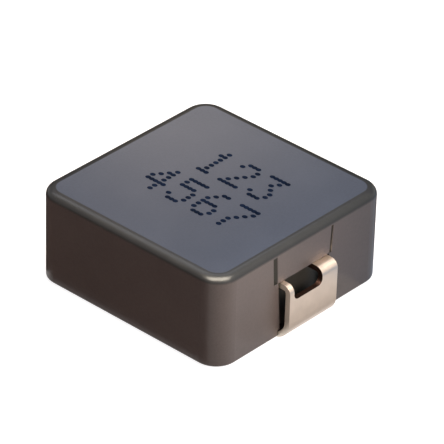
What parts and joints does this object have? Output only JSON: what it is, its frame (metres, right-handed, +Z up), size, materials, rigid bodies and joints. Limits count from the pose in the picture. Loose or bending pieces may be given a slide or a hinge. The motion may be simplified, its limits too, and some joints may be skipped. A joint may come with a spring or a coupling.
{
  "type": "shielded smd inductor",
  "caption": "Square moulded power inductor for surface mounting: pressed powder block round a flat-wire coil, with bent tinned terminals on two opposite sides.",
  "frame": {"origin": "centre of the part's footprint, on the board surface that the solder pads rest on", "axes": "+X from the centre towards terminal_right, through both terminals; +Z up, out of the board"},
  "size_m": [0.0112, 0.01, 0.0043],
  "materials": {
    "pressed_powder": "satin, fine pressed grain",
    "tinned_lead": "matte tin plate",
    "coil_copper": "enamelled copper"
  },
  "bodies": {
    "root": {"moulded_body": "pressed_powder", "terminal_left": "tinned_lead", "terminal_right": "tinned_lead", "coil": "coil_copper"}
  },
  "joints": []
}
